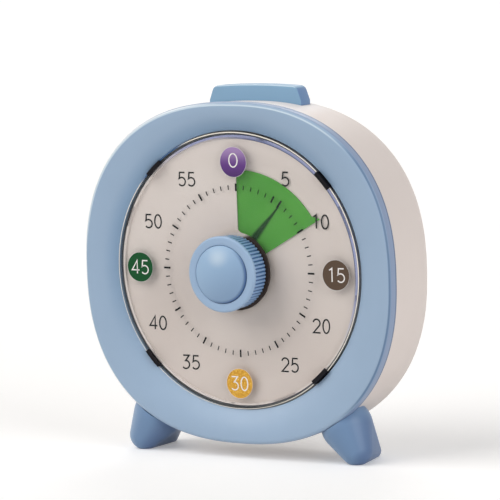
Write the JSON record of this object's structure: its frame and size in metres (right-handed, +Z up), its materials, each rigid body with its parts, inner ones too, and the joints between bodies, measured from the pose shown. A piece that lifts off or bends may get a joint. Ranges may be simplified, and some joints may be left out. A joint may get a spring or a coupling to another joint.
{
  "type": "countdown timer",
  "caption": "Free-standing visual countdown timer: a round dial in a rounded-square case on feet, with a turning knob that winds a coloured disc out of a slit and a press bar on top.",
  "frame": {"origin": "centre of the bounding box in X and Y, at the flats of the feet", "axes": "+Z up, the dial and knob face -Y, +X to the right as the dial is seen from the front"},
  "size_m": [0.144, 0.0558, 0.1515],
  "materials": {
    "bezel_blue": "satin moulded",
    "shell_cream": "satin moulded",
    "foot_blue": "satin moulded",
    "bar_blue": "satin moulded",
    "knob_blue": "satin moulded",
    "lens_clear": "clear polished",
    "clip_black": "satin",
    "ring_blue": "satin",
    "dial_white": "matt",
    "carrier_grey": "matt",
    "print_black": "printed",
    "spot_purple": "printed",
    "spot_brown": "printed",
    "spot_gold": "glitter print",
    "spot_green": "printed",
    "collar_black": "matt",
    "disc_green": "film",
    "hub_white": "satin",
    "wheel_cream": "moulded",
    "movement_black": "moulded",
    "shaft_steel": "turned",
    "screw_steel": "plated",
    "clip_steel": "stamped",
    "contact_brass": "stamped",
    "stator_iron": "stamped",
    "rotor_magnet": "sintered",
    "bobbin_white": "moulded",
    "coil_copper": "wound wire",
    "board_green": "solder mask",
    "chip_black": "moulded",
    "can_silver": "drawn",
    "switch_black": "moulded",
    "plunger_red": "moulded",
    "cell_jacket": "gloss jacket",
    "spring_steel": "plated wire",
    "lead_red": "insulated",
    "lead_black": "insulated",
    "lead_blue": "insulated",
    "lead_yellow": "insulated"
  },
  "bodies": {
    "case": {"front_bezel": "bezel_blue", "rear_shell": "shell_cream", "foot_left": "foot_blue", "foot_right": "foot_blue", "foot_screws": "screw_steel", "case_screws": "screw_steel", "lens": "lens_clear", "lens_clips": "clip_black", "dial_ring": "ring_blue", "dial_plate": "dial_white", "dial_carrier": "carrier_grey", "carrier_screws": "screw_steel", "tick_marks": "print_black", "spot_0": "spot_purple", "spot_15": "spot_brown", "spot_30": "spot_gold", "spot_45": "spot_green", "knob_collar": "collar_black", "alarm_contact": "contact_brass", "movement_base": "movement_black", "movement_cover": "movement_black", "movement_nut": "contact_brass", "movement_screws": "screw_steel", "stator": "stator_iron", "coil_bobbin": "bobbin_white", "coil": "coil_copper", "main_pcb": "board_green", "pcb_parts": "chip_black", "crystal": "can_silver", "pcb_screws": "screw_steel", "volume_switch": "switch_black", "buzzer": "switch_black", "battery_cell": "cell_jacket", "battery_spring": "spring_steel", "battery_contact": "spring_steel", "bar_springs": "spring_steel", "bar_switch": "switch_black", "battery_lead_plus": "lead_red", "battery_lead_minus": "lead_black", "buzzer_leads": "lead_blue", "movement_leads": "lead_yellow"},
    "dial_knob": {"knob": "knob_blue", "knob_cap": "knob_blue", "knob_screw": "screw_steel", "spindle": "shaft_steel", "clutch_spring": "contact_brass", "spindle_clip": "clip_steel", "alarm_cam": "hub_white"},
    "disc": {"disc_hub": "hub_white", "time_disc": "disc_green"},
    "centre_gear": {"centre_wheel": "wheel_cream"},
    "third_gear": {"third_wheel": "wheel_cream"},
    "fourth_gear": {"fourth_wheel": "wheel_cream"},
    "fifth_gear": {"fifth_wheel": "wheel_cream"},
    "motor_rotor": {"rotor": "rotor_magnet"},
    "press_bar": {"top_bar": "bar_blue"},
    "plunger": {"switch_plunger": "plunger_red"},
    "slider": {"volume_slider": "switch_black"},
    "door": {"battery_door": "shell_cream"}
  },
  "joints": [
    {"name": "knob_turn", "type": "hinge", "parent": "case", "child": "dial_knob", "pos_m": [0, 0.00135, 0.077], "axis": [0, 1, 0], "range_deg": [-60, 300]},
    {"name": "disc_lift", "type": "slide", "parent": "dial_knob", "child": "disc", "axis": [0, -1, 0], "range_m": [-0.00021, 0.00101]},
    {"name": "rotor_turn", "type": "hinge", "parent": "case", "child": "motor_rotor", "pos_m": [-0.01586, 0.00135, 0.08842], "axis": [0, 1, 0], "continuous": true},
    {"name": "fifth_turn", "type": "hinge", "parent": "case", "child": "fifth_gear", "pos_m": [-0.00985, 0.00135, 0.09443], "axis": [0, 1, 0], "continuous": true},
    {"name": "fourth_turn", "type": "hinge", "parent": "case", "child": "fourth_gear", "pos_m": [0.00095, 0.00135, 0.09443], "axis": [0, 1, 0], "continuous": true},
    {"name": "third_turn", "type": "hinge", "parent": "case", "child": "third_gear", "pos_m": [0.01414, 0.00135, 0.09114], "axis": [0, 1, 0], "continuous": true},
    {"name": "centre_turn", "type": "hinge", "parent": "case", "child": "centre_gear", "pos_m": [0, 0.00135, 0.077], "axis": [0, 1, 0], "continuous": true},
    {"name": "bar_press", "type": "slide", "parent": "case", "child": "press_bar", "axis": [0, 0, -1], "range_m": [0, 0.0015], "stiffness_N_per_m": 400, "deforming": ["bar_springs"]},
    {"name": "switch_press", "type": "slide", "parent": "case", "child": "plunger", "axis": [0, 0, -1], "range_m": [0, 0.0015]},
    {"name": "volume_slide", "type": "slide", "parent": "case", "child": "slider", "axis": [1, 0, 0], "range_m": [-0.003, 0.003]},
    {"name": "door_lift", "type": "slide", "parent": "case", "child": "door", "axis": [0, 1, 0], "range_m": [0, 0.03]}
  ],
  "couplings": [
    {"joint": "disc_lift", "follows": "knob_turn", "m_per_rad": 0.00019099},
    {"joint": "fifth_turn", "follows": "rotor_turn", "ratio": -0.13333},
    {"joint": "fourth_turn", "follows": "rotor_turn", "ratio": 0.016667},
    {"joint": "third_turn", "follows": "rotor_turn", "ratio": -0.0022222},
    {"joint": "centre_turn", "follows": "rotor_turn", "ratio": 0.00055556},
    {"joint": "switch_press", "follows": "bar_press", "ratio": 1}
  ]
}
